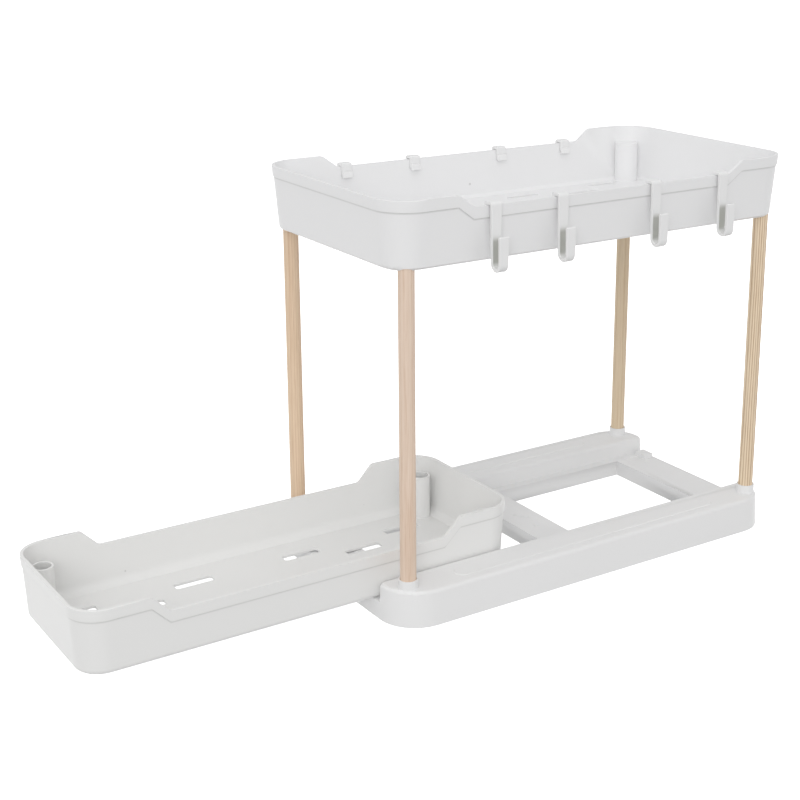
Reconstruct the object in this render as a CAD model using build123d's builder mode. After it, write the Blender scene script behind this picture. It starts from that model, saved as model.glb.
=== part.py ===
from build123d import *
import os

# Under sink organizer: a slatted drawer that slides in a low base frame, and an upper tray on four
# dowels, with hooks hung over its long rims. Millimetres, +Z up. The origin is the middle of the base's
# underside, the drawer pulls out towards -Y, and it stands pulled out, as it is used.

os.makedirs("parts", exist_ok=True)

# Base frame: overall sizes
base_width = 205.0
base_length = 371.0
base_corner = 31.0
base_lean = 1.5
rail_height = 28.0
rail_width = 36.5
rail_edge = 1.8
rail_end_round = 5.0
ledge_width = 8.0
ledge_height = 13.5
panel_drop = 0.6
panel_strip = 6.8
panel_corner = 3.0
end_bar_width = 38.0
middle_bar_width = 31.5
middle_bar_shift = -2.2

# Base frame: moulded hollow from beneath, with its corners cut off at a share of their radius
pocket_corner_share = 0.6
base_wall = 2.2
base_skin = 2.4
rib_thickness = 1.8
rib_pitch = 62.0

# Base frame: low pads on the rails, marks on the middle bar and the blocks that stop the drawer
pad_height = 0.6
pad_root = 0.2
pad_width = 14.0
pad_end = 57.0
pad_shift = 1.2
nub_width = 5.0
nub_place = 17.6
mark_sides = 8
mark_height = 0.4
ridge_length = 14.0
ridge_width = 1.8
ridge_place = -4.2
ridge_turn = 39.0
block_width = 13.0
block_depth = 10.0
block_height = 3.6
block_setback = 3.0

# Dowels and the sockets that hold them
pole_diameter = 12.0
pole_inset_x = 17.0
pole_inset_y = 16.0
socket_clearance = 0.15
socket_floor = 2.5
collar_wall = 1.3
collar_height = 7.0
column_wall = 3.85
column_top_skin = 3.3
column_depth = 33.0

# Upper tray
tray_underside = 268.5
tray_inset_x = 4.5
tray_overhang_y = 2.0
tray_corner = 26.0
tray_lean = 4.0
tray_height = 50.0
tray_dip = 9.8
tray_dip_half = 120.5
tray_dip_run = 13.5
tray_wall = 2.0
tray_floor = 2.5
tray_edge = 1.8
tray_cove = 2.6

# Drawer
drawer_side_gap = 1.1
drawer_lift = 0.3
drawer_length = 352.0
drawer_corner = 22.0
drawer_lean = 2.3
drawer_height = 49.7
drawer_dip = 13.5
drawer_dip_end = 51.0
drawer_dip_run = 13.5
drawer_wall = 2.0
drawer_floor = 2.2
drawer_edge = 5.0
drawer_cove = 4.7
drawer_pull = 234.0
drawer_stop_gap = 0.5
tube_outer = 16.0
tube_inner = 12.8
tube_height = 36.0
tube_inset_x = 19.0
tube_inset_y = 15.0

# Rim band, bends of the rim and drain slots of both trays
band_height = 8.5
band_stand = 0.8
rim_bend = 5.0
slot_end = 1.2
drawer_slot = 31.0
drawer_slot_width = 8.5
drawer_slot_shift = -5.5
tray_slot = 32.0
tray_slot_width = 4.5

# Hooks
hook_width = 9.0
hook_foot_width = 7.1
hook_thickness = 2.6
hook_gap = 0.3
hook_slack = 1.1
hook_bend = 1.6
hook_throat = 7.1
hook_drop = 47.1
hook_prong = 27.6
clip_drop = 9.0
clip_step = 1.2
clip_step_down = 5.4
clip_notch = 0.7
hook_end_chamfer = 0.6

# Cuts run past the material by this much
overrun = 5.0

# Places along the dipped rim, as shares of half its length
near_hook_shares = (-0.865, -0.3725, 0.361, 0.925)
far_hook_shares = (-0.945, -0.41, 0.31, 0.875)

# Slot places, as shares of the half width and half length of each tray
drawer_slot_shares = (
    (-0.495, -0.785), (-0.495, -0.26), (-0.495, 0.26), (-0.495, 0.785), (-0.225, -0.525), (-0.225, 0.525),
)
tray_slot_shares = (
    (-0.815, -0.735), (-0.745, -0.245), (-0.745, 0.245), (-0.815, 0.735), (-0.62, -0.545), (-0.62, 0.545),
)
sides = (-1, 1)

# Worked out from the sizes above
pole_x = base_width / 2 - pole_inset_x
pole_y = base_length / 2 - pole_inset_y
pole_radius = pole_diameter / 2
socket_radius = pole_radius + socket_clearance
collar_top = rail_height + collar_height
pole_top = tray_underside + column_depth
bay_half = base_width / 2 - rail_width
window_half = bay_half - ledge_width
tray_width = base_width - 2 * tray_inset_x
tray_length = base_length + 2 * tray_overhang_y
tray_rim = tray_underside + tray_height
drawer_underside = ledge_height + drawer_lift
drawer_rim = drawer_underside + drawer_height
drawer_rise = drawer_lean * (rail_height - drawer_underside) / drawer_height
drawer_width = 2 * (bay_half - drawer_side_gap - drawer_rise + drawer_lean)
block_front = base_length / 2 - block_setback - block_depth
drawer_closed_y = block_front - drawer_stop_gap + drawer_lean - drawer_length / 2
drawer_y = drawer_closed_y - drawer_pull


def drafted_block(width, length, corner, slope, low, high, edge, y, ease=chamfer):
    """A rounded rectangle that narrows downwards; width, length and corner are those at its top.

    Its bottom edge is eased by edge, with a fillet or a chamfer.
    """
    inset = slope * (high - low)
    with BuildPart() as block:
        with BuildSketch(Plane.XY.offset(low)):
            with Locations((0, y)):
                RectangleRounded(width - 2 * inset, length - 2 * inset, corner - inset)
        with BuildSketch(Plane.XY.offset(high)):
            with Locations((0, y)):
                RectangleRounded(width, length, corner)
        loft()
        if edge > 0:
            ease(block.faces().sort_by(Axis.Z)[0].edges(), edge)
    return block.part


def above_rim(rim, dip, flat_half, run, end_half, y, reach):
    """The space over a rim that is high at both ends and dips along the long sides."""
    with BuildPart() as space:
        with BuildSketch(Plane.YZ):
            with BuildLine():
                FilletPolyline(
                    (y - end_half, rim),
                    (y - flat_half - run, rim),
                    (y - flat_half, rim - dip),
                    (y + flat_half, rim - dip),
                    (y + flat_half + run, rim),
                    (y + end_half, rim),
                    radius=rim_bend,
                )
                Polyline(
                    (y + end_half, rim),
                    (y + end_half, rim + dip + overrun),
                    (y - end_half, rim + dip + overrun),
                    (y - end_half, rim),
                )
            make_face()
        extrude(amount=reach, both=True)
    return space.part


def open_tray(
    width, length, corner, lean, height, dip, flat_half, run, wall, floor, edge, ease, cove, low, y, keep
):
    """A tray's shell with its rim band. keep is the solid that stays standing inside it."""
    slope = lean / height
    rim = low + height
    over = slope * overrun
    reach = width
    end_half = length / 2 + overrun
    outer = drafted_block(
        width + 2 * over, length + 2 * over, corner + over, slope, low, rim + overrun, edge, y, ease
    )
    wide = 2 * (over + band_stand)
    proud = drafted_block(
        width + wide, length + wide, corner + wide / 2, slope, low, rim + overrun, 0, y
    )
    thin = 2 * (over - wall)
    hollow = drafted_block(
        width + thin, length + thin, corner + thin / 2, slope, low + floor, rim + overrun, cove, y
    )
    with BuildPart() as band:
        add(proud)
        add(above_rim(rim - band_height, dip, flat_half, run, end_half, y, reach), mode=Mode.INTERSECT)
    with BuildPart() as inside:
        add(hollow)
        add(keep, mode=Mode.SUBTRACT)
    with BuildPart() as tray:
        add(outer)
        add(band.part)
        add(inside.part, mode=Mode.SUBTRACT)
        add(above_rim(rim, dip, flat_half, run, end_half, y, reach), mode=Mode.SUBTRACT)
    return tray.part


def floor_slots(shares, slot_width, slot_length, width, length, low, floor, y):
    """The drain slots of a tray's floor, alike on both sides of its middle."""
    with BuildPart() as slots:
        with BuildSketch(Plane.XY.offset(low - overrun)) as slots_outline:
            for side in sides:
                places = [(side * a * width / 2, y + b * length / 2) for a, b in shares]
                with Locations(*places):
                    Rectangle(slot_width, slot_length)
            chamfer(slots_outline.vertices(), slot_end)
        extrude(amount=floor + 2 * overrun)
    return slots.part


def is_rail_end(edge):
    """Whether an edge is the upright one at an end of a rail's inner face."""
    box = edge.bounding_box()
    upright = box.size.Z > (rail_height - ledge_height) / 2 and box.size.X < base_lean
    return upright and box.min.Z > 0 and abs(edge.center().Y) > base_length / 2 - end_bar_width


# Base frame: the rails and bars from above
top_width = base_width - 2 * base_lean
top_length = base_length - 2 * base_lean
frame_blank = drafted_block(
    top_width, top_length, base_corner - base_lean, -base_lean / rail_height, 0, rail_height, 0, 0
)
window_edge = base_length / 2 - end_bar_width
front_window = window_edge + middle_bar_shift - middle_bar_width / 2
back_window = window_edge - middle_bar_shift - middle_bar_width / 2
front_window_y = -window_edge + front_window / 2
back_window_y = window_edge - back_window / 2
collar_radius = socket_radius + collar_wall
pocket_width = top_width - 2 * base_wall
pocket_length = top_length - 2 * base_wall
pocket_corner = base_corner - base_lean - base_wall
rail_pocket = pocket_width / 2 - bay_half - base_wall
rail_middle = base_width / 2 - rail_width / 2
block_x = window_half + ledge_width / 2 - block_width / 2
block_y = block_front + block_depth / 2

with BuildSketch() as pocket_outline:
    Rectangle(pocket_width, pocket_length)
    chamfer(pocket_outline.vertices(), pocket_corner * pocket_corner_share)

with BuildPart() as underside:
    with BuildSketch():
        add(pocket_outline.sketch)
        with Locations((0, front_window_y)):
            Rectangle(2 * (window_half + base_wall), front_window + 2 * base_wall, mode=Mode.SUBTRACT)
        with Locations((0, back_window_y)):
            Rectangle(2 * (window_half + base_wall), back_window + 2 * base_wall, mode=Mode.SUBTRACT)
    extrude(amount=ledge_height - panel_drop - base_skin)
    with BuildSketch():
        with Locations(*[(side * (bay_half + base_wall + rail_pocket / 2), 0) for side in sides]):
            Rectangle(rail_pocket, pocket_length)
        add(pocket_outline.sketch, mode=Mode.INTERSECT)
    extrude(amount=rail_height - base_skin)

with BuildPart() as ribs:
    with BuildSketch():
        with GridLocations(0, rib_pitch, 1, int(base_length / rib_pitch)):
            Rectangle(base_width, rib_thickness)
        Rectangle(rib_thickness, base_length)
        add(pocket_outline.sketch, mode=Mode.INTERSECT)
        with Locations((0, front_window_y)):
            Rectangle(2 * window_half + base_wall, front_window + base_wall, mode=Mode.SUBTRACT)
        with Locations((0, back_window_y)):
            Rectangle(2 * window_half + base_wall, back_window + base_wall, mode=Mode.SUBTRACT)
    extrude(amount=ledge_height - panel_drop - base_skin / 2)

with BuildPart() as base_frame:
    add(frame_blank)
    with BuildSketch(Plane.XY.offset(ledge_height)):
        Rectangle(2 * bay_half, base_length + overrun)
    extrude(amount=rail_height, mode=Mode.SUBTRACT)
    bay_edges = base_frame.edges().filter_by_position(Axis.X, -bay_half, bay_half)
    fillet(bay_edges.filter_by(is_rail_end), rail_end_round)
    chamfer(base_frame.faces().sort_by(Axis.Z)[-2:].edges(), rail_edge)
    with BuildSketch(Plane.XY.offset(ledge_height - panel_drop)) as panels:
        with Locations(*[(0, side * (window_edge + panel_strip + base_length / 2)) for side in sides]):
            Rectangle(2 * window_half, base_length)
        chamfer(panels.vertices(), panel_corner)
    extrude(amount=rail_height, mode=Mode.SUBTRACT)
    # The middle bar is lower than the ledges by its marks, so that the drawer clears them
    with BuildSketch(Plane.XY.offset(ledge_height - mark_height)):
        with Locations((0, middle_bar_shift)):
            Rectangle(2 * window_half, middle_bar_width)
    extrude(amount=rail_height, mode=Mode.SUBTRACT)
    with BuildSketch():
        with Locations((0, front_window_y)):
            Rectangle(2 * window_half, front_window)
        with Locations((0, back_window_y)):
            Rectangle(2 * window_half, back_window)
    extrude(amount=rail_height, mode=Mode.SUBTRACT)
    add(underside.part, mode=Mode.SUBTRACT)
    add(ribs.part)
    # Low pads on the rails, and the nub and ridge on the middle bar
    with BuildSketch(Plane.XY.offset(rail_height - pad_root)):
        with Locations(*[(side * (rail_middle + pad_shift), 0) for side in sides]):
            SlotOverall(base_length - 2 * pad_end, pad_width, rotation=90)
    extrude(amount=pad_root + pad_height, taper=45)
    with BuildSketch(Plane.XY.offset(ledge_height - mark_height - pad_root)):
        with Locations((nub_place, middle_bar_shift)):
            RegularPolygon(nub_width / 2, mark_sides)
        with Locations((ridge_place, middle_bar_shift)):
            Rectangle(ridge_length, ridge_width, rotation=ridge_turn)
    extrude(amount=pad_root + mark_height)
    # Blocks that stop the drawer at the back
    with BuildSketch(Plane.XY.offset(ledge_height - 2 * panel_drop)):
        with Locations(*[(side * block_x, block_y) for side in sides]):
            Rectangle(block_width, block_depth)
    extrude(amount=block_height + 2 * panel_drop)
    # Sockets and their collars
    with BuildSketch(Plane.XY):
        with GridLocations(2 * pole_x, 2 * pole_y, 2, 2):
            Circle(collar_radius)
    extrude(amount=collar_top)
    with BuildSketch(Plane.XY.offset(socket_floor)):
        with GridLocations(2 * pole_x, 2 * pole_y, 2, 2):
            Circle(socket_radius)
    extrude(amount=collar_top, mode=Mode.SUBTRACT)

base_frame.part.label = "base_frame"
export_step(base_frame.part, "parts/base_frame.step")

# Upper tray, with a closed column in each corner that a dowel enters from beneath
column_top = tray_underside + column_depth + column_top_skin
with BuildPart() as columns:
    with BuildSketch(Plane.XY.offset(tray_underside)):
        with GridLocations(2 * pole_x, 2 * pole_y, 2, 2):
            Circle(socket_radius + column_wall)
    extrude(amount=column_depth + column_top_skin)

tray_shell = open_tray(
    tray_width, tray_length, tray_corner, tray_lean, tray_height, tray_dip, tray_dip_half, tray_dip_run,
    tray_wall, tray_floor, tray_edge, chamfer, tray_cove, tray_underside, 0, columns.part,
)
with BuildPart() as upper_tray:
    add(tray_shell)
    with BuildSketch(Plane.XY.offset(tray_underside - overrun)):
        with GridLocations(2 * pole_x, 2 * pole_y, 2, 2):
            Circle(socket_radius)
    extrude(amount=column_depth + overrun, mode=Mode.SUBTRACT)
    add(
        floor_slots(
            tray_slot_shares, tray_slot_width, tray_slot, tray_width, tray_length,
            tray_underside, tray_floor, 0,
        ),
        mode=Mode.SUBTRACT,
    )

upper_tray.part.label = "upper_tray"
export_step(upper_tray.part, "parts/upper_tray.step")

# Drawer, with an open tube in each corner
tube_x = drawer_width / 2 - tube_inset_x
tube_y = drawer_length / 2 - tube_inset_y
with BuildPart() as tubes:
    with BuildSketch(Plane.XY.offset(drawer_underside)):
        with Locations((0, drawer_y)):
            with GridLocations(2 * tube_x, 2 * tube_y, 2, 2):
                Circle(tube_outer / 2)
    extrude(amount=drawer_floor + tube_height)

drawer_shell = open_tray(
    drawer_width, drawer_length, drawer_corner, drawer_lean, drawer_height, drawer_dip,
    drawer_length / 2 - drawer_dip_end - drawer_dip_run, drawer_dip_run,
    drawer_wall, drawer_floor, drawer_edge, fillet, drawer_cove, drawer_underside, drawer_y, tubes.part,
)
with BuildPart() as drawer_tray:
    add(drawer_shell)
    with BuildSketch(Plane.XY.offset(drawer_underside + drawer_floor)):
        with Locations((0, drawer_y)):
            with GridLocations(2 * tube_x, 2 * tube_y, 2, 2):
                Circle(tube_inner / 2)
    extrude(amount=tube_height, mode=Mode.SUBTRACT)
    add(
        floor_slots(
            drawer_slot_shares, drawer_slot_width, drawer_slot, drawer_width, drawer_length,
            drawer_underside, drawer_floor, drawer_y + drawer_slot_shift,
        ),
        mode=Mode.SUBTRACT,
    )

drawer_tray.part.label = "drawer_tray"
export_step(drawer_tray.part, "parts/drawer_tray.step")

# Dowels
pole_names = {
    (1, -1): "pole_front_near",
    (-1, -1): "pole_front_far",
    (1, 1): "pole_back_near",
    (-1, 1): "pole_back_far",
}
for (side_x, side_y), name in pole_names.items():
    with BuildPart() as pole:
        with BuildSketch(Plane.XY.offset(socket_floor)):
            with Locations((side_x * pole_x, side_y * pole_y)):
                Circle(pole_radius)
        extrude(amount=pole_top - socket_floor)
    pole.part.label = name
    export_step(pole.part, f"parts/{name}.step")

# Hooks: one strap, bent over the dipped rim and up again in a J, narrower at its foot
rim_low = tray_rim - tray_dip
wall_slope = tray_lean / tray_height
rim_outside = tray_width / 2 - wall_slope * tray_dip + band_stand
rim_inside = rim_outside - band_stand - tray_wall
strap_x = rim_outside + hook_slack + hook_thickness / 2
clip_x = rim_inside - hook_gap - hook_thickness / 2
over_z = rim_low + hook_gap + hook_thickness / 2
throat_bend = (hook_throat + hook_thickness) / 2
bottom_z = rim_low - hook_drop + hook_thickness / 2
prong_x = strap_x + 2 * throat_bend
prong_z = bottom_z + hook_prong - hook_thickness
clip_end_z = rim_low - clip_drop
step_z = over_z - clip_step_down
half = hook_thickness / 2
clip_end_x = clip_x - clip_step - wall_slope * clip_drop
hook_slope = (hook_width - hook_foot_width) / 2 / (over_z - bottom_z + hook_thickness)
foot_half = hook_foot_width / 2 - hook_slope * overrun
head_half = hook_width / 2 + hook_slope * overrun


def hook(side, y):
    """One hook on the long side that side names, with its middle at y."""
    with BuildPart() as piece:
        with BuildSketch(Plane.XZ.offset(-y - hook_width)):
            with BuildLine():
                FilletPolyline(
                    (side * clip_x, over_z),
                    (side * strap_x, over_z),
                    (side * strap_x, bottom_z),
                    (side * prong_x, bottom_z),
                    (side * prong_x, prong_z),
                    radius=[hook_bend, throat_bend, throat_bend],
                )
            trace(line_width=hook_thickness)
            with BuildLine():
                Polyline(
                    (side * (clip_x + half), over_z + half),
                    (side * (clip_x - half + hook_bend), over_z + half),
                    (side * (clip_x - half), over_z + half - hook_bend),
                    (side * (clip_x - half), step_z + clip_notch),
                    (side * (clip_x - half + clip_notch), step_z),
                    (side * (clip_x - half - clip_step), step_z - clip_notch),
                    (side * (clip_end_x - half), clip_end_z + hook_end_chamfer),
                    (side * (clip_end_x - half + hook_end_chamfer), clip_end_z),
                    (side * (clip_end_x + half), clip_end_z),
                    (side * (clip_x + half), step_z),
                    close=True,
                )
            make_face()
        extrude(amount=2 * hook_width)
        with BuildSketch(Plane.YZ):
            with BuildLine():
                Polyline(
                    (y - foot_half, bottom_z - half - overrun),
                    (y + foot_half, bottom_z - half - overrun),
                    (y + head_half, over_z + half + overrun),
                    (y - head_half, over_z + half + overrun),
                    close=True,
                )
            make_face()
        extrude(amount=side * (prong_x + overrun), mode=Mode.INTERSECT)
    return piece.part


for side, word, shares in ((1, "near", near_hook_shares), (-1, "far", far_hook_shares)):
    for number, share in enumerate(shares, start=1):
        part = hook(side, share * tray_dip_half)
        part.label = f"hook_{word}_{number}"
        export_step(part, f"parts/hook_{word}_{number}.step")
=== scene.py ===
"""Looks of an under sink organizer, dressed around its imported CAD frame, in metres."""

from __future__ import annotations

import logging
import math
from dataclasses import dataclass
from enum import Enum
from typing import Any

import bmesh
import bpy
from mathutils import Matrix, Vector
from mathutils.bvhtree import BVHTree
from mathutils.geometry import intersect_point_line

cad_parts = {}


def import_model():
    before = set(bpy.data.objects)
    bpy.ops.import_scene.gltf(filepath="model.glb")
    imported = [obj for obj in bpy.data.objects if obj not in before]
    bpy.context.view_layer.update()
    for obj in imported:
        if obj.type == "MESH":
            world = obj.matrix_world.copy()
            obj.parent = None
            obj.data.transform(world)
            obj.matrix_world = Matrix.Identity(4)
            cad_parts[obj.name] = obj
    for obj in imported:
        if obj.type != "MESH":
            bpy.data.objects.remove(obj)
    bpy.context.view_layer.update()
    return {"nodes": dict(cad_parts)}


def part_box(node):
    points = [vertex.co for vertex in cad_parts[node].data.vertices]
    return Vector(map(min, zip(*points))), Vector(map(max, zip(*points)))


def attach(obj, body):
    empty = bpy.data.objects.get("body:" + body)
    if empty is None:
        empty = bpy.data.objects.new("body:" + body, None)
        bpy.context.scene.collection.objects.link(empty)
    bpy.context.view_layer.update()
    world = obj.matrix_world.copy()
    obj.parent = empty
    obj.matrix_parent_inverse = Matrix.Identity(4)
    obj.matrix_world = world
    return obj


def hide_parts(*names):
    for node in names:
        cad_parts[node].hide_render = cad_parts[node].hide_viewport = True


LOG = logging.getLogger("organizer")
MM = 0.001
NOISE_MEAN = 0.5
Point = tuple[float, float, float]
Colour = tuple[float, float, float]
Pair = tuple[float, float]
Settings = dict[str, Any] | None
Inputs = dict[Any, Any] | None


class Side(Enum):
    """The two long sides of the organizer, by the sign of X."""

    NEAR = 1
    FAR = -1

    @property
    def word(self) -> str:
        """The side's word in the names of the nodes."""
        return self.name.lower()


class Wire:
    """A node's output that takes part in Python sums."""

    def __init__(self, book: NodeBook, socket: bpy.types.NodeSocket) -> None:
        """Keeps the socket and the tree it is in."""
        self.book = book
        self.socket = socket

    def _maths(self, operation: str, *terms: Any) -> Wire:
        """Adds one Math node.

        Args:
            operation: the node's operation.
            terms: its inputs in order.

        Returns:
            The node's value.
        """
        return self.book.value("ShaderNodeMath", {"operation": operation}, dict(enumerate(terms)))

    def __add__(self, other: Any) -> Wire:
        """Sum."""
        return self._maths("ADD", self, other)

    __radd__ = __add__

    def __sub__(self, other: Any) -> Wire:
        """Difference."""
        return self._maths("SUBTRACT", self, other)

    def __rsub__(self, other: Any) -> Wire:
        """Difference from a number."""
        return self._maths("SUBTRACT", other, self)

    def __mul__(self, other: Any) -> Wire:
        """Product."""
        return self._maths("MULTIPLY", self, other)

    __rmul__ = __mul__

    def __truediv__(self, other: Any) -> Wire:
        """Quotient."""
        return self._maths("DIVIDE", self, other)

    def __pow__(self, other: Any) -> Wire:
        """Power."""
        return self._maths("POWER", self, other)

    def fract(self) -> Wire:
        """The part after the decimal point."""
        return self._maths("FRACT", self)

    def size(self) -> Wire:
        """The value without its sign."""
        return self._maths("ABSOLUTE", self)

    def positive(self) -> Wire:
        """The value, or 0 where it is below 0."""
        return self._maths("MAXIMUM", self, 0.0)

    def step(self, low: float, high: float, kind: str = "SMOOTHSTEP") -> Wire:
        """A step from 0 to 1.

        Args:
            low: where it starts.
            high: where it ends.
            kind: SMOOTHSTEP or LINEAR.

        Returns:
            The step's value.
        """
        return self.book.value(
            "ShaderNodeMapRange",
            {"interpolation_type": kind, "clamp": True},
            {"Value": self, "From Min": low, "From Max": high},
            "Result",
        )


class NodeBook:
    """One node tree, and the only way that nodes get into it."""

    def __init__(self, tree: bpy.types.NodeTree) -> None:
        """Keeps the tree."""
        self.tree = tree

    def node(self, kind: str, settings: Settings = None, inputs: Inputs = None) -> bpy.types.Node:
        """Adds a node.

        Args:
            kind: the node's type.
            settings: its properties, set before its sockets.
            inputs: socket name or number to a value or a Wire.

        Returns:
            The node.
        """
        made = self.tree.nodes.new(kind)
        for name, value in (settings or {}).items():
            setattr(made, name, value)
        for key, value in (inputs or {}).items():
            socket = made.inputs[key]
            if isinstance(value, Wire):
                self.tree.links.new(value.socket, socket)
            else:
                socket.default_value = value
        return made

    def value(self, kind: str, settings: Settings = None, inputs: Inputs = None, output: Any = 0) -> Wire:
        """Adds a node.

        Args:
            kind: the node's type.
            settings: its properties.
            inputs: socket name or number to a value or a Wire.
            output: the name or number of the output that is wanted.

        Returns:
            That output.
        """
        return Wire(self, self.node(kind, settings, inputs).outputs[output])

    def noise(self, place: Wire, scale: float = 1.0, *, detail: float, seed: float) -> Wire:
        """Noise of about NOISE_MEAN on average.

        Args:
            place: where it is read.
            scale: how fine it is.
            detail: how many finer layers it has.
            seed: which noise it is.

        Returns:
            The noise's value.
        """
        return self.value(
            "ShaderNodeTexNoise",
            {"noise_dimensions": "4D"},
            {"Vector": place, "W": seed, "Scale": scale, "Detail": detail},
            "Fac",
        )

    def mixed(self, factor: Any, first: Any, second: Any) -> Wire:
        """The mix of two colours.

        Args:
            factor: the second colour's share.
            first: the first colour.
            second: the second colour.

        Returns:
            The mixed colour.
        """
        return self.value(
            "ShaderNodeMix", {"data_type": "RGBA"}, {"Factor": factor, 6: first, 7: second}, 2
        )

    def stretched(self, place: Wire, scale: Point) -> Wire:
        """The place with each coordinate times its own number."""
        return self.value("ShaderNodeVectorMath", {"operation": "MULTIPLY"}, {0: place, 1: scale})


def solid(colour: Colour) -> tuple[float, float, float, float]:
    """The colour with full alpha."""
    return (*colour, 1.0)


class Material:
    """A material whose shader is a Principled BSDF with a bump in front of its normal."""

    def __init__(self, name: str, specular: float, coat: float = 0.0) -> None:
        """Makes the empty material.

        Args:
            name: the material's name.
            specular: its constant specular level.
            coat: its constant coat weight.
        """
        self.data = bpy.data.materials.new(name)
        self.data.use_nodes = True
        self.data.node_tree.nodes.clear()
        self.book = NodeBook(self.data.node_tree)
        self.place = self.book.value("ShaderNodeTexCoord", output="Object")
        self.specular = specular
        self.coat = coat

    def close(
        self, colour: Any, roughness: Any, height: Any, depth: float, strength: float
    ) -> bpy.types.Material:
        """Adds the shader.

        Args:
            colour: base colour.
            roughness: roughness.
            height: the bump's height, about 0 to 1.
            depth: how deep a height of 1 is, in metres.
            strength: the bump's strength.

        Returns:
            The finished material.
        """
        bump = self.book.value(
            "ShaderNodeBump", None, {"Height": height, "Distance": depth, "Strength": strength}
        )
        shader = self.book.value(
            "ShaderNodeBsdfPrincipled",
            None,
            {
                "Base Color": colour,
                "Roughness": roughness,
                "Normal": bump,
                "Coat Weight": self.coat,
                "Specular IOR Level": self.specular,
            },
        )
        self.book.node("ShaderNodeOutputMaterial", None, {"Surface": shader})
        return self.data


@dataclass(frozen=True)
class SatinMoulding:
    """White polypropylene with a satin skin, a little uneven from the mould."""

    name: str
    body: Colour = (0.87, 0.87, 0.87)
    thin: Colour = (0.89, 0.89, 0.89)
    coat: float = 0.05
    specular: float = 0.45
    roughness: float = 0.42
    unevenness: float = 0.10
    cloud_scale: float = 14.0
    grain_scale: float = 2600.0
    wave_scale: float = 22.0
    scuff_scale: float = 3.0
    scuff_stretch: Point = (60.0, 9.0, 60.0)
    scuff_range: Pair = (0.62, 0.78)
    relief: float = 0.04 * MM
    relief_strength: float = 0.6
    wave_share: float = 0.8
    seed: float = 1.0
    # The ejector pins' dimples, shown as painted shade: darker spots at these places.
    marks: tuple[Point, ...] = ()
    mark_radius: float = 1.3 * MM
    mark_core: float = 0.6
    dimple_shade_share: float = 0.4
    dimple_shade: Colour = (0.42, 0.42, 0.40)

    def make(self) -> bpy.types.Material:
        """Builds the material.

        Returns:
            The material.
        """
        skin = Material(self.name, self.specular, self.coat)
        book, place = skin.book, skin.place
        clouds = book.noise(place, self.cloud_scale, detail=3.0, seed=self.seed)
        grain = book.noise(place, self.grain_scale, detail=2.0, seed=self.seed + 1)
        wave = book.noise(place, self.wave_scale, detail=1.0, seed=self.seed + 2)
        lengthwise = book.stretched(place, self.scuff_stretch)
        scuffs = book.noise(lengthwise, self.scuff_scale, detail=5.0, seed=self.seed + 3)
        scuffs = scuffs.step(*self.scuff_range)
        colour = self.shaded(book, place, book.mixed(clouds, solid(self.body), solid(self.thin)))
        roughness = self.roughness + (grain - NOISE_MEAN) * self.unevenness + scuffs * self.unevenness
        height = grain * (1 - self.wave_share) + wave * self.wave_share
        return skin.close(colour, roughness, height, self.relief, self.relief_strength)

    def shaded(self, book: NodeBook, place: Wire, colour: Wire) -> Wire:
        """Paints shade into the dimples of the mould's ejector pins, as darker spots.

        Args:
            book: the material's nodes.
            place: the place on the piece.
            colour: the plastic's colour.

        Returns:
            The colour with the painted shade of the dimples.
        """
        for spot in self.marks:
            apart = book.value(
                "ShaderNodeVectorMath", {"operation": "DISTANCE"}, {0: place, 1: spot}, "Value"
            )
            # Painted shade: a darker spot in each dimple.
            dimple_shade_mask = (1 - apart.step(self.mark_radius * self.mark_core, self.mark_radius)) * self.dimple_shade_share
            colour = book.mixed(dimple_shade_mask, colour, solid(self.dimple_shade))
        return colour


@dataclass(frozen=True)
class TrayMoulding(SatinMoulding):
    """The same plastic with painted shade: a dark line in the corner under the band round a tray's rim.

    Attributes:
        node: the tray's CAD node.
        corner: the rim's corner radius.
        slope: how far the walls lean out for their height.
        wall: the wall's thickness.
        outer_face: from where to where the outer face starts, in shares of the wall from outside.
        band: the band's height.
        stand: how far the band stands out.
        dip: how far the long sides dip.
        flat_half: half the length of the dip's flat part.
        run: the length of its slope.
        line: how wide the line of painted shade is.
        fade: how far it fades out.
        painted_shade: the colour of the painted shade.
        painted_shade_share: how much of the painted shade shows.
    """

    node: str = "upper_tray"
    corner: float = 26.0 * MM
    slope: float = 0.08
    wall: float = 2.0 * MM
    outer_face: Pair = (0.6, 0.3)
    band: float = 8.5 * MM
    stand: float = 0.8 * MM
    dip: float = 9.8 * MM
    flat_half: float = 120.5 * MM
    run: float = 13.5 * MM
    line: float = 0.7 * MM
    fade: float = 0.8 * MM
    # Painted shade: this colour and share make a dark line just under the band.
    painted_shade: Colour = (0.46, 0.46, 0.44)
    painted_shade_share: float = 0.32

    def shaded(self, book: NodeBook, place: Wire, colour: Wire) -> Wire:
        """Paints shade under the band: a dark line that follows the dips of the rim.

        Args:
            book: the material's nodes.
            place: the place on the tray.
            colour: the plastic's colour.

        Returns:
            The colour with the painted shade under the band over the painted shade of the dimples.
        """
        low, high = (Vector(end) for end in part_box(self.node))
        straight = (high - low) / 2 - Vector((self.stand + self.corner,) * 3)
        parts = book.node("ShaderNodeSeparateXYZ", None, {"Vector": place})
        across, along, height = (Wire(book, parts.outputs[axis]) for axis in "XYZ")
        along = (along - (low.y + high.y) / 2).size()
        out = ((across.size() - straight.x).positive() ** 2 + (along - straight.y).positive() ** 2) ** 0.5
        down = high.z - height
        outside = (out + down * self.slope).step(*(self.corner - self.wall * at for at in self.outer_face))
        dipped = 1 - along.step(self.flat_half, self.flat_half + self.run, "LINEAR")
        under = down - dipped * self.dip - self.band
        # Painted shade in the corner under the band, on the outer face only.
        line = under.step(-self.line / 2, 0.0) * (1 - under.step(self.line, self.line + self.fade)) * outside
        return book.mixed(line * self.painted_shade_share, super().shaded(book, place, colour), solid(self.painted_shade))


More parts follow.
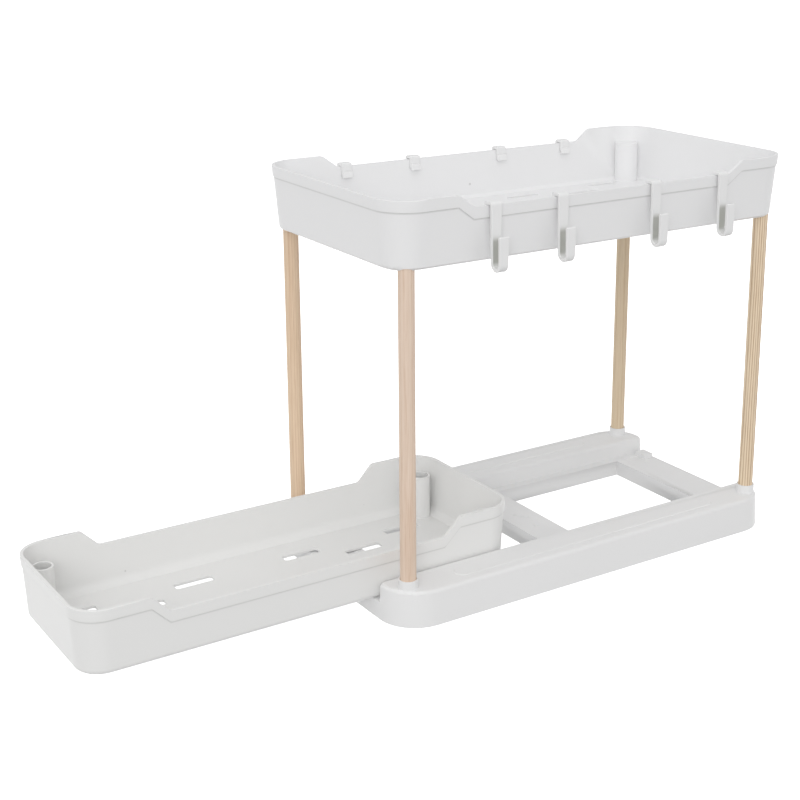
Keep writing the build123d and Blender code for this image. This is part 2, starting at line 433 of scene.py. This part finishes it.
@dataclass(frozen=True)
class HookMoulding(SatinMoulding):
    """The same plastic, with painted shade in the throat of each hook.

    Attributes:
        throat_shade: the grey of the painted shade.
        throat_in: how far out the throat's inner face is from the middle plane.
        throat_out: how far out its outer face is.
        tip: the height at which the painted shade ends.
        foot: the height at which it starts.
        fade: how far it fades out up and down.
        edge: how far it fades out across.
        middle: where it fades out to the sides, in shares of the hook's width from its middle.
    """

    # Painted shade: the throat's faces are darkened to this grey, where the prong shades the strap.
    throat_shade: Colour = (0.50, 0.505, 0.47)
    throat_in: float = 101.5 * MM
    throat_out: float = 109.1 * MM
    tip: float = 287.9 * MM
    foot: float = 263.5 * MM
    fade: float = 5.5 * MM
    edge: float = 0.2 * MM
    middle: Pair = (0.32, 0.5)

    def shaded(self, book: NodeBook, place: Wire, colour: Wire) -> Wire:
        """Paints shade on the faces between the strap and the prong.

        Args:
            book: the material's nodes.
            place: the place on the hook.
            colour: the plastic's colour.

        Returns:
            The colour with the grey.
        """
        parts = book.node("ShaderNodeSeparateXYZ", None, {"Vector": place})
        across = Wire(book, parts.outputs["X"]).size()
        height = Wire(book, parts.outputs["Z"])
        past_strap = across.step(self.throat_in - self.edge, self.throat_in + self.edge)
        past_prong = across.step(self.throat_out - self.edge, self.throat_out + self.edge)
        over_tip = height.step(self.tip - self.fade, self.tip)
        over_foot = height.step(self.foot, self.foot + self.fade)
        share = book.value("ShaderNodeAttribute", {"attribute_name": "across"}, None, "Fac").size()
        # Painted shade between the strap and the prong, fading out up, down and to the sides.
        inside = past_strap * (1 - past_prong) * (1 - over_tip) * over_foot * (1 - share.step(*self.middle))
        return book.mixed(inside, colour, solid(self.throat_shade))


@dataclass(frozen=True)
class PineDowel:
    """Bare softwood dowel: growth rings cut along the grain, fine fibres and short dark pores.

    The grain of a pattern says how fine it is across the dowel, twice, and along it.
    """

    name: str
    centre: Pair
    early: Colour
    late: Colour
    turn: float
    contrast: float
    seed: float
    ring: float = 2.1 * MM
    ring_drift: float = 2.4
    ring_waver: float = 0.35
    ring_rise: Pair = (0.35, 0.93)
    ring_fall: Pair = (0.94, 1.0)
    drift_grain: Point = (60.0, 60.0, 3.2)
    fibre_grain: Point = (2300.0, 2300.0, 38.0)
    streak_grain: Point = (700.0, 700.0, 5.0)
    pore_grain: Point = (3600.0, 3600.0, 110.0)
    blotch_grain: Point = (40.0, 40.0, 9.0)
    pore_range: Pair = (0.66, 0.74)
    fibre_share: float = 1.5
    streak_share: float = 0.45
    blotch_share: float = 0.35
    pore_share: float = 0.22
    tones: Pair = (-0.35, 1.05)
    specular: float = 0.35
    roughness: float = 0.62
    fibre_roughness: float = 0.25
    ring_gloss: float = 0.08
    fibre_height: float = 0.6
    ring_height: float = 0.25
    pore_height: float = 0.4
    relief: float = 0.12 * MM
    relief_strength: float = 0.7

    def make(self) -> bpy.types.Material:
        """Builds the material.

        Returns:
            The material.
        """
        wood = Material(self.name, self.specular)
        book = wood.book
        place = book.value(
            "ShaderNodeMapping", {"vector_type": "POINT"},
            {"Vector": wood.place, "Location": (-self.centre[0], -self.centre[1], 0.0)},
        )
        turned = book.value(
            "ShaderNodeMapping", {"vector_type": "POINT"},
            {"Vector": place, "Rotation": (0.0, 0.0, self.turn)},
        )
        across = book.value("ShaderNodeSeparateXYZ", None, {"Vector": turned}, "X")
        drift = book.noise(book.stretched(turned, self.drift_grain), detail=2.0, seed=self.seed)
        fibres = book.noise(book.stretched(turned, self.fibre_grain), detail=3.0, seed=self.seed + 1)
        streaks = book.noise(book.stretched(turned, self.streak_grain), detail=2.0, seed=self.seed + 2)
        pores = book.noise(book.stretched(turned, self.pore_grain), detail=1.0, seed=self.seed + 3)
        pores = pores.step(*self.pore_range)
        blotches = book.noise(book.stretched(turned, self.blotch_grain), detail=2.0, seed=self.seed + 4)
        saw = (across / self.ring + drift * self.ring_drift + streaks * self.ring_waver).fract()
        rings = saw.step(*self.ring_rise) * (1 - saw.step(*self.ring_fall))
        mask = rings * self.contrast + (fibres - NOISE_MEAN) * self.fibre_share
        mask += (streaks - NOISE_MEAN) * self.streak_share + (blotches - NOISE_MEAN) * self.blotch_share
        mask += pores * self.pore_share
        colour = book.mixed(mask.step(*self.tones), solid(self.early), solid(self.late))
        roughness = self.roughness + (fibres - NOISE_MEAN) * self.fibre_roughness - rings * self.ring_gloss
        height = fibres * self.fibre_height + rings * self.ring_height - pores * self.pore_height
        return wood.close(colour, roughness, height, self.relief, self.relief_strength)


@dataclass(frozen=True)
class PaleFloor:
    """The plain studio floor."""

    name: str = "pale_floor"
    tone: Colour = (0.93, 0.93, 0.93)
    glow: float = 0.95
    specular: float = 0.1
    roughness: float = 0.9
    unevenness: float = 0.05
    speckle_scale: float = 3.0
    relief: float = 0.01 * MM
    relief_strength: float = 0.1

    def make(self) -> bpy.types.Material:
        """Builds the material.

        Returns:
            The material, which glows so that the floor is as white as the surround.
        """
        floor = Material(self.name, self.specular)
        speckle = floor.book.noise(floor.place, self.speckle_scale, detail=2.0, seed=5.0)
        roughness = self.roughness + (speckle - NOISE_MEAN) * self.unevenness
        data = floor.close(solid(self.tone), roughness, speckle, self.relief, self.relief_strength)
        shader = next(n for n in data.node_tree.nodes if n.type == "BSDF_PRINCIPLED")
        shader.inputs["Emission Color"].default_value = solid(self.tone)
        shader.inputs["Emission Strength"].default_value = self.glow
        return data


def plain_mesh(source: bpy.types.Object, name: str) -> bpy.types.Object:
    """Turns an object with live modifiers into a plain mesh at the origin.

    Args:
        source: the object, which is removed.
        name: the new object's name.

    Returns:
        The new object.
    """
    view = bpy.context.evaluated_depsgraph_get()
    view.update()
    mesh = bpy.data.meshes.new_from_object(
        source.evaluated_get(view), preserve_all_data_layers=True, depsgraph=view
    )
    bpy.data.objects.remove(source)
    mesh.name = name
    made = bpy.data.objects.new(name, mesh)
    bpy.context.scene.collection.objects.link(made)
    return made


def finish_with(piece: bpy.types.Object, material: bpy.types.Material) -> None:
    """Gives a piece one material all over.

    Args:
        piece: the piece.
        material: the material.
    """
    if piece.material_slots:
        for slot in piece.material_slots:
            slot.material = material
    else:
        piece.data.materials.append(material)


@dataclass(frozen=True)
class RoundedRun:
    """A chamfer of the frame that the real moulding has as a round edge.

    Attributes:
        low: the height it starts at.
        high: the height it ends at.
        width: how wide each of its two edges is eased.
        skip: the distances from the middle plane between which edges aren't part of it.
    """

    low: float
    high: float
    width: float
    skip: Pair = (0.0, 0.0)

    def holds(self, start: Vector, end: Vector) -> bool:
        """Whether an edge is one of the chamfer's two edges.

        Args:
            start: one end of the edge.
            end: its other end.

        Returns:
            True if it is.
        """
        across = abs(start.x + end.x) / 2
        level = self.low < start.z < self.high and self.low < end.z < self.high
        return level and not self.skip[0] < across < self.skip[1]


@dataclass
class SoftMoulding:
    """A moulding of the frame with its sharp edges eased, as they come out of a mould.

    Attributes:
        node: the CAD node.
        body: the body it rides on.
        finish: what it is made of.
        runs: its chamfers that are really round.
        ease: how wide a plain edge is eased.
        rim_ease: how wide the edges of the rim are eased.
        rim_from: the height at which the rim starts.
        widest: the widest easing of all.
        segments: facets across an easing.
        turn: edges that turn less than this are smooth already.
        square: edges that turn more than this are never part of a chamfer.
        flat: faces that turn less than this are one face.
        weld: points closer than this are one point.
        crowd: no edge is eased this near to a fold.
        speck: triangles smaller than this aren't looked at for folds.
        floor_line: edges below this height stand on the floor and stay sharp.
        tries: how often folds are looked for.
        flatness: how much more the large faces count in the shading.
    """

    node: str
    body: str
    finish: SatinMoulding
    runs: tuple[RoundedRun, ...] = ()
    ease: float = 0.3 * MM
    rim_ease: float = 0.5 * MM
    rim_from: float = math.inf
    widest: float = 1.3 * MM
    segments: int = 2
    turn: float = math.radians(26)
    square: float = math.radians(60)
    flat: float = math.radians(0.05)
    weld: float = 0.002 * MM
    crowd: float = 2.0 * MM
    speck: float = 0.02 * MM * MM
    floor_line: float = 0.05 * MM
    tries: int = 4
    flatness: int = 90

    def merged(self, node: bpy.types.Object) -> bmesh.types.BMesh:
        """A copy of the node's mesh with its doubles merged and its flat faces whole.

        Args:
            node: the node.

        Returns:
            The copy, which the caller frees.
        """
        shape = bmesh.new()
        shape.from_mesh(node.data)
        bmesh.ops.remove_doubles(shape, verts=shape.verts, dist=self.weld)
        bmesh.ops.dissolve_limit(
            shape, angle_limit=self.flat, verts=shape.verts, edges=shape.edges, use_dissolve_boundaries=False
        )
        return shape

    def ease_edge(self, edge: bmesh.types.BMEdge, weights: Any, folds: list[Vector]) -> None:
        """Sets how wide an edge is eased, and whether its shading is smooth.

        Args:
            edge: the edge.
            weights: the layer that holds each edge's width, as a share of the widest.
            folds: places where an eased edge folded over itself.
        """
        edge[weights] = 0.0
        edge.smooth = True
        if len(edge.link_faces) != 2 or edge.calc_face_angle(0.0) < self.turn:
            return
        start, end = (vertex.co for vertex in edge.verts)
        if max(start.z, end.z) < self.floor_line:
            edge.smooth = False
            return
        width = self.ease
        if min(start.z, end.z) > self.rim_from:
            width = self.rim_ease
        elif edge.calc_face_angle(0.0) < self.square:
            width = next((run.width for run in self.runs if run.holds(start, end)), width)
        for fold in folds:
            _, along = intersect_point_line(fold, start, end)
            nearest = start.lerp(end, min(max(along, 0.0), 1.0))
            if (nearest - fold).length < self.crowd:
                edge.smooth = False
                return
        edge[weights] = width / self.widest

    def eased(self, shape: bmesh.types.BMesh, folds: list[Vector]) -> bpy.types.Object:
        """The shape with its edges eased, sharp near the folds.

        Args:
            shape: the merged shape.
            folds: places where an eased edge folded over itself.

        Returns:
            The eased moulding, a plain mesh.
        """
        weights = shape.edges.layers.float.get("bevel_weight_edge")
        weights = weights or shape.edges.layers.float.new("bevel_weight_edge")
        for edge in shape.edges:
            self.ease_edge(edge, weights, folds)
        for face in shape.faces:
            face.smooth = True
        mesh = bpy.data.meshes.new(self.node + "_rough")
        shape.to_mesh(mesh)
        rough = bpy.data.objects.new(self.node + "_rough", mesh)
        bpy.context.scene.collection.objects.link(rough)
        easing = rough.modifiers.new("eased edges", "BEVEL")
        easing.limit_method = "WEIGHT"
        easing.width = self.widest
        easing.segments = self.segments
        easing.use_clamp_overlap = False
        shading = rough.modifiers.new("flat faces stay flat", "WEIGHTED_NORMAL")
        shading.keep_sharp = True
        shading.weight = self.flatness
        return plain_mesh(rough, self.node + "_moulding")

    def folded(self, mesh: bpy.types.Mesh, outline: BVHTree) -> list[Vector]:
        """Where the eased mesh faces the other way from the shape under it.

        Args:
            mesh: the eased mesh.
            outline: the shape before its edges were eased.

        Returns:
            The middles of the triangles that are folded over.
        """
        mesh.calc_loop_triangles()
        found = []
        for triangle in mesh.loop_triangles:
            if triangle.area < self.speck:
                continue
            middle = sum((mesh.vertices[i].co for i in triangle.vertices), Vector()) / 3
            _, normal, _, _ = outline.find_nearest(middle)
            if normal.dot(triangle.normal) < 0:
                found.append(middle)
        return found

    def build(self, nodes: dict[str, bpy.types.Object]) -> bpy.types.Object:
        """Makes the piece that stands for the node.

        Args:
            nodes: the frame's nodes.

        Returns:
            The piece.
        """
        shape = self.merged(nodes[self.node])
        outline = BVHTree.FromBMesh(shape)
        folds: list[Vector] = []
        for _ in range(self.tries):
            piece = self.eased(shape, folds)
            found = self.folded(piece.data, outline)
            LOG.info("%s: %d places folded", self.node, len(found))
            if not found:
                break
            folds += found
            bpy.data.objects.remove(piece)
        else:
            piece = self.eased(shape, folds)
        shape.free()
        finish_with(piece, self.finish.make())
        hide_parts(self.node)
        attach(piece, self.body)
        return piece


class HookTree:
    """Geometry Nodes that turn a hook's outline, seen from its edge, into the hook."""

    def __init__(self, material: bpy.types.Material) -> None:
        """Builds the tree.

        Args:
            material: what the hook is made of.
        """
        self.tree = bpy.data.node_groups.new("hook", "GeometryNodeTree")
        face = self.tree.interface
        face.new_socket("Geometry", in_out="INPUT", socket_type="NodeSocketGeometry")
        sizes = ("Width", "Foot Width", "Middle", "Top", "Foot")
        for name in sizes:
            face.new_socket(name, in_out="INPUT", socket_type="NodeSocketFloat")
        face.new_socket("Steps", in_out="INPUT", socket_type="NodeSocketInt")
        face.new_socket("Geometry", in_out="OUTPUT", socket_type="NodeSocketGeometry")
        book = NodeBook(self.tree)
        given = book.node("NodeGroupInput")
        names = ("Geometry", *sizes, "Steps")
        outline, width, foot_width, middle, top, foot, steps = (Wire(book, given.outputs[n]) for n in names)
        closed = book.value("GeometryNodeMeshToCurve", None, {"Mesh": outline})
        bend = book.value("GeometryNodeInputNamedAttribute", {"data_type": "FLOAT"}, {"Name": "bend"})
        rounded = book.value(
            "GeometryNodeFilletCurve", {"mode": "POLY"},
            {"Curve": closed, "Radius": bend, "Count": steps, "Limit Radius": True},
        )
        ends = [
            book.value("ShaderNodeCombineXYZ", None, {"Y": middle + width * half}) for half in (-0.5, 0.5)
        ]
        across = book.value("GeometryNodeCurvePrimitiveLine", None, {"Start": ends[0], "End": ends[1]})
        upright = book.value("GeometryNodeSetCurveNormal", {"mode": "Z_UP"}, {"Curve": across})
        block = book.value(
            "GeometryNodeCurveToMesh", None, {"Curve": upright, "Profile Curve": rounded, "Fill Caps": True}
        )
        place = book.node("ShaderNodeSeparateXYZ", None, {"Vector": book.value("GeometryNodeInputPosition")})
        along, over, height = (Wire(book, place.outputs[axis]) for axis in "XYZ")
        lowered = (top - height) / (top - foot)
        narrowing = 1 - lowered * (1 - foot_width / width)
        narrowed = book.value(
            "ShaderNodeCombineXYZ", None, {"X": along, "Y": middle + (over - middle) * narrowing, "Z": height}
        )
        named = book.value(
            "GeometryNodeStoreNamedAttribute", {"data_type": "FLOAT", "domain": "POINT"},
            {"Geometry": block, "Name": "across", "Value": (over - middle) / width},
        )
        hook = book.value("GeometryNodeSetPosition", None, {"Geometry": named, "Position": narrowed})
        made_real = book.value("GeometryNodeRealizeInstances", None, {"Geometry": hook})
        smooth = book.value("GeometryNodeSetShadeSmooth", None, {"Geometry": made_real, "Shade Smooth": True})
        dressed = book.value("GeometryNodeSetMaterial", None, {"Geometry": smooth, "Material": material})
        book.node("NodeGroupOutput", None, {"Geometry": dressed})

    def apply(self, outline: bpy.types.Object, sizes: dict[str, Any]) -> None:
        """Puts the tree on an outline.

        Args:
            outline: the object that holds the outline's points.
            sizes: input name to value.
        """
        modifier = outline.modifiers.new("hook", "NODES")
        modifier.node_group = self.tree
        for socket in self.tree.interface.items_tree:
            if socket.in_out == "INPUT" and socket.name in sizes:
                modifier[socket.identifier] = sizes[socket.name]


@dataclass
class HookRun:
    """The loose hooks hung over one long rim, each one strap bent over it and up again in a J.

    Attributes:
        side: the rim they hang over.
        finish: what they are made of.
        thickness: the strap's thickness.
        foot_width: its width at the foot.
        throat: the gap between the strap and the prong.
        strap_from_prong: from the strap's inner face to the prong's outer face.
        prong: the prong's height.
        clip_lean: how far the clip's lower half leans in.
        clip_drop: from the top to the clip's end, less the thickness and the bend inside.
        clip_step: how far the clip steps in.
        clip_step_down: how far under the top it does.
        notch: the groove at the step.
        tip: how round the prong's tip is.
        lip: how round the clip's end is.
        fold: how round the top is.
        inside: how round the bends are inside.
        edge: how wide the long edges are eased.
        edge_steps: facets across them.
        edge_turn: edges that turn less than this are smooth already.
        flatness: how much more the large faces count in the shading.
        steps: facets in each bend.
        count: how many hooks there are.
    """

    side: Side
    finish: SatinMoulding
    thickness: float = 2.6 * MM
    foot_width: float = 7.1 * MM
    throat: float = 7.1 * MM
    strap_from_prong: float = 12.3 * MM
    prong: float = 26.3 * MM
    clip_lean: float = 0.72 * MM
    clip_drop: float = 9.0 * MM
    clip_step: float = 1.2 * MM
    clip_step_down: float = 6.7 * MM
    notch: float = 0.7 * MM
    tip: float = 0.9 * MM
    lip: float = 0.6 * MM
    fold: float = 1.6 * MM
    inside: float = 0.3 * MM
    edge: float = 0.5 * MM
    edge_steps: int = 3
    edge_turn: float = math.radians(50)
    flatness: int = 90
    steps: int = 8
    count: int = 4

    def build(self) -> list[bpy.types.Object]:
        """Makes the hooks.

        Returns:
            The hooks, from the front to the back.
        """
        tree = HookTree(self.finish.make())
        return [self.hook(tree, f"hook_{self.side.word}_{number + 1}") for number in range(self.count)]

    def hook(self, tree: HookTree, node: str) -> bpy.types.Object:
        """Makes one hook on its own body.

        Args:
            tree: the nodes that turn its outline into the hook.
            node: the CAD node it stands for.

        Returns:
            The hook.
        """
        low, high = (Vector(corner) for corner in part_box(node))
        outline = self.outline(node, low, high)
        sizes = {
            "Width": high.y - low.y, "Foot Width": self.foot_width, "Middle": (low.y + high.y) / 2,
            "Top": high.z, "Foot": low.z, "Steps": self.steps,
        }
        tree.apply(outline, sizes)
        easing = outline.modifiers.new("eased edges", "BEVEL")
        easing.width = self.edge
        easing.segments = self.edge_steps
        easing.angle_limit = self.edge_turn
        easing.use_clamp_overlap = False
        shading = outline.modifiers.new("flat faces stay flat", "WEIGHTED_NORMAL")
        shading.weight = self.flatness
        piece = plain_mesh(outline, node + "_moulding")
        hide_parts(node)
        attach(piece, node + "_body")
        return piece

    def outline(self, node: str, low: Vector, high: Vector) -> bpy.types.Object:
        """The hook seen from its edge, as a closed line with how round each corner is.

        Args:
            node: the CAD node it stands for.
            low: lowest corner of that node.
            high: highest corner of that node.

        Returns:
            An object whose mesh is the closed line, in its own X and Y.
        """
        sign = self.side.value
        outer = high.x if sign > 0 else -low.x
        lip_face = low.x if sign > 0 else -high.x
        clip_face = lip_face + self.clip_lean + self.clip_step
        clip_end = high.z - self.clip_drop - self.thickness - self.inside
        step = high.z - self.clip_step_down
        strap = outer - self.strap_from_prong
        tip = low.z + self.prong
        rows = (
            (outer, tip, self.tip),
            (outer - self.thickness, tip, self.tip),
            (outer - self.thickness, low.z + self.thickness, self.throat / 2),
            (strap + self.thickness, low.z + self.thickness, self.throat / 2),
            (strap + self.thickness, high.z, self.fold + self.thickness / 2),
            (clip_face, high.z, self.fold),
            (clip_face, step + self.notch, 0.0),
            (clip_face + self.notch, step, 0.0),
            (clip_face - self.clip_step, step - self.notch, self.lip),
            (lip_face, clip_end, self.lip),
            (lip_face + self.thickness, clip_end, self.lip),
            (clip_face + self.thickness, step, 0.0),
            (clip_face + self.thickness, high.z - self.thickness, self.inside),
            (strap, high.z - self.thickness, self.inside),
            (strap, low.z, self.throat / 2 + self.thickness),
            (outer, low.z, self.throat / 2 + self.thickness),
        )
        rows = rows[::-sign]
        count = len(rows)
        points = [(sign * x, -z, 0.0) for x, z, _ in rows]
        mesh = bpy.data.meshes.new(node + "_outline")
        mesh.from_pydata(points, [(i, (i + 1) % count) for i in range(count)], [])
        bend = mesh.attributes.new("bend", "FLOAT", "POINT")
        bend.data.foreach_set("value", [radius for _, _, radius in rows])
        outline = bpy.data.objects.new(node + "_outline", mesh)
        bpy.context.scene.collection.objects.link(outline)
        return outline


@dataclass(frozen=True)
class SoftBox:
    """A large soft lamp."""

    name: str
    place: Point
    size: float
    power: float


@dataclass
class Studio:
    """Pale floor, soft light and the photograph's camera.

    Attributes:
        eye: where the camera stands.
        look_deg: how it is turned, in degrees.
        focal: its focal length in mm.
        film: its sensor's width in mm.
        shift: how far its picture is shifted, in shares of its width.
        nearest: the nearest it sees.
        sky: how bright the surround is.
        below: its tone below the floor, against 1 above it.
        rise: from where to where it brightens, by the height of the view's direction.
        floor_size: the floor's side.
        lamps: the soft lamps.
        target: the place they face.
    """

    eye: Point = (0.957, -0.7092, 0.5203)
    look_deg: Point = (74.251, -0.244, 55.873)
    focal: float = 68.5
    film: float = 36.0
    shift: Pair = (-0.0857, -0.0988)
    nearest: float = 0.01
    sky: float = 0.71
    below: float = 0.60
    rise: Pair = (-0.18, 0.0)
    floor_size: float = 40.0
    lamps: tuple[SoftBox, ...] = (
        SoftBox("high", place=(1.1, -0.9, 2.7), size=2.6, power=12.0),
        SoftBox("low", place=(2.15, -1.85, 1.25), size=1.1, power=16.0),
    )
    target: Point = (0.0, -0.1, 0.15)

    def build(self) -> None:
        """Makes the floor, the world, the lamps and the camera."""
        half = self.floor_size / 2
        mesh = bpy.data.meshes.new("studio_floor")
        corners = [(-half, -half, 0), (half, -half, 0), (half, half, 0), (-half, half, 0)]
        mesh.from_pydata(corners, [], [(0, 1, 2, 3)])
        floor = bpy.data.objects.new("studio_floor", mesh)
        bpy.context.scene.collection.objects.link(floor)
        finish_with(floor, PaleFloor().make())
        # Its glow is only to be seen and doesn't light the object.
        floor.visible_diffuse = False
        self._world()
        for lamp in self.lamps:
            self._lamp(lamp)
        self._camera()

    def _world(self) -> None:
        """A white surround, dimmer below the level of the floor."""
        world = bpy.data.worlds.new("studio")
        world.use_nodes = True
        world.node_tree.nodes.clear()
        book = NodeBook(world.node_tree)
        aim = book.value("ShaderNodeTexCoord", output="Generated")
        rise = book.value("ShaderNodeSeparateXYZ", None, {"Vector": aim}, "Z").step(*self.rise)
        tone = book.mixed(rise, solid((self.below,) * 3), solid((1.0, 1.0, 1.0)))
        light = book.value("ShaderNodeBackground", None, {"Color": tone, "Strength": self.sky})
        book.node("ShaderNodeOutputWorld", None, {"Surface": light})
        bpy.context.scene.world = world

    def _lamp(self, box: SoftBox) -> None:
        """Puts up a lamp that faces the object.

        Args:
            box: the lamp.
        """
        light = bpy.data.lights.new(box.name, "AREA")
        light.size = box.size
        light.energy = box.power
        lamp = bpy.data.objects.new(box.name, light)
        lamp.location = box.place
        lamp.rotation_euler = (Vector(self.target) - Vector(box.place)).to_track_quat("-Z", "Y").to_euler()
        bpy.context.scene.collection.objects.link(lamp)

    def _camera(self) -> None:
        """The camera at the photograph's viewpoint."""
        lens = bpy.data.cameras.new("camera")
        lens.lens = self.focal
        lens.sensor_width = self.film
        lens.shift_x, lens.shift_y = self.shift
        lens.clip_start = self.nearest
        camera = bpy.data.objects.new("camera", lens)
        camera.location = self.eye
        camera.rotation_euler = tuple(math.radians(a) for a in self.look_deg)
        bpy.context.scene.collection.objects.link(camera)
        bpy.context.scene.camera = camera


def mouldings() -> tuple[SoftMoulding, ...]:
    """The base and the two trays, with the chamfers that are round edges on the real ones.

    Returns:
        The three mouldings.
    """
    rail_top = RoundedRun(low=25.9 * MM, high=28.1 * MM, width=1.0 * MM, skip=(76.0 * MM, 95.0 * MM))
    tray_edge = RoundedRun(low=268.4 * MM, high=270.5 * MM, width=1.24 * MM)
    tray_foot = RoundedRun(low=270.8 * MM, high=274.2 * MM, width=1.2 * MM)
    drawer_foot = RoundedRun(low=15.9 * MM, high=20.9 * MM, width=2.4 * MM)
    # The base's and the drawer's plastic are a little darker than the tray's: painted shade for the lower
    # pieces.
    base_plastic = SatinMoulding(
        "base_plastic", body=(0.865, 0.865, 0.865), thin=(0.885, 0.885, 0.885), seed=1.0
    )
    tray_plastic = TrayMoulding(
        "tray_plastic", body=(0.88, 0.88, 0.885), thin=(0.9, 0.9, 0.905), seed=11.0,
        # Painted shade of an ejector pin's dimple, at this place.
        marks=((-93.0 * MM, 5.1 * MM, 282.4 * MM),),
    )
    drawer_plastic = TrayMoulding(
        "drawer_plastic", body=(0.86, 0.86, 0.85), thin=(0.88, 0.88, 0.87), seed=21.0, node="drawer_tray",
        corner=22.0 * MM, slope=2.3 / 49.7, dip=13.5 * MM, flat_half=111.5 * MM,
        # Painted shade of the ejector pins' dimples, at these places.
        marks=(
            (-62.0 * MM, -329.3 * MM, 24.5 * MM),
            (-62.0 * MM, -152.2 * MM, 35.9 * MM),
            (-62.0 * MM, -120.4 * MM, 30.3 * MM),
        ),
    )
    return (
        SoftMoulding("base_frame", "stand", base_plastic, (rail_top,)),
        SoftMoulding("upper_tray", "stand", tray_plastic, (tray_edge, tray_foot), rim_from=318.3 * MM),
        SoftMoulding(
            "drawer_tray", "drawer", drawer_plastic, (drawer_foot,), rim_from=63.2 * MM,
            widest=2.4 * MM, segments=3,
        ),
    )


def dowels() -> dict[str, PineDowel]:
    """The finish of each dowel: no two are cut from the same board.

    Returns:
        Each dowel's node to its finish.
    """
    across, along = 85.5 * MM, 169.5 * MM
    return {
        "pole_front_near": PineDowel(
            "pine_front_near", (across, -along), early=(0.87, 0.70, 0.57), late=(0.66, 0.46, 0.32),
            turn=0.4, contrast=0.25, seed=1.0,
        ),
        "pole_front_far": PineDowel(
            "pine_front_far", (-across, -along), early=(0.88, 0.68, 0.49), late=(0.64, 0.42, 0.26),
            turn=1.5, contrast=0.35, seed=11.0,
        ),
        "pole_back_near": PineDowel(
            "pine_back_near", (across, along), early=(0.98, 0.82, 0.61), late=(0.56, 0.38, 0.23),
            turn=2.3, contrast=0.8, seed=21.0,
        ),
        # Its darker tones are partly the wood's own and partly painted shade, as it stands in the shade at
        # the back.
        "pole_back_far": PineDowel(
            "pine_back_far", (-across, along), early=(0.82, 0.67, 0.48), late=(0.60, 0.43, 0.27),
            turn=0.9, contrast=0.35, seed=31.0,
        ),
    }


def hook_runs() -> tuple[HookRun, ...]:
    """The hooks, each rim's cast from its own batch of plastic.

    Returns:
        The near run and the far run.
    """
    batch = 31.0
    return tuple(
        HookRun(side, HookMoulding(f"hook_{side.word}_plastic", seed=batch + side.value)) for side in Side
    )


def report(piece: bpy.types.Object) -> None:
    """Says that a piece is done."""
    LOG.info("%s: %d faces", piece.name, len(piece.data.polygons))


def main() -> None:
    """Dresses the frame and sets up the studio."""
    logging.basicConfig(level=logging.INFO, format="%(name)s: %(message)s")
    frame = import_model()
    nodes = frame["nodes"]
    for moulding in mouldings():
        report(moulding.build(nodes))
    for run in hook_runs():
        for hook in run.build():
            report(hook)
    for node, pine in dowels().items():
        finish_with(nodes[node], pine.make())
        report(nodes[node])
    Studio().build()
    bpy.context.scene.view_settings.view_transform = "Standard"


if __name__ == "__main__":
    main()
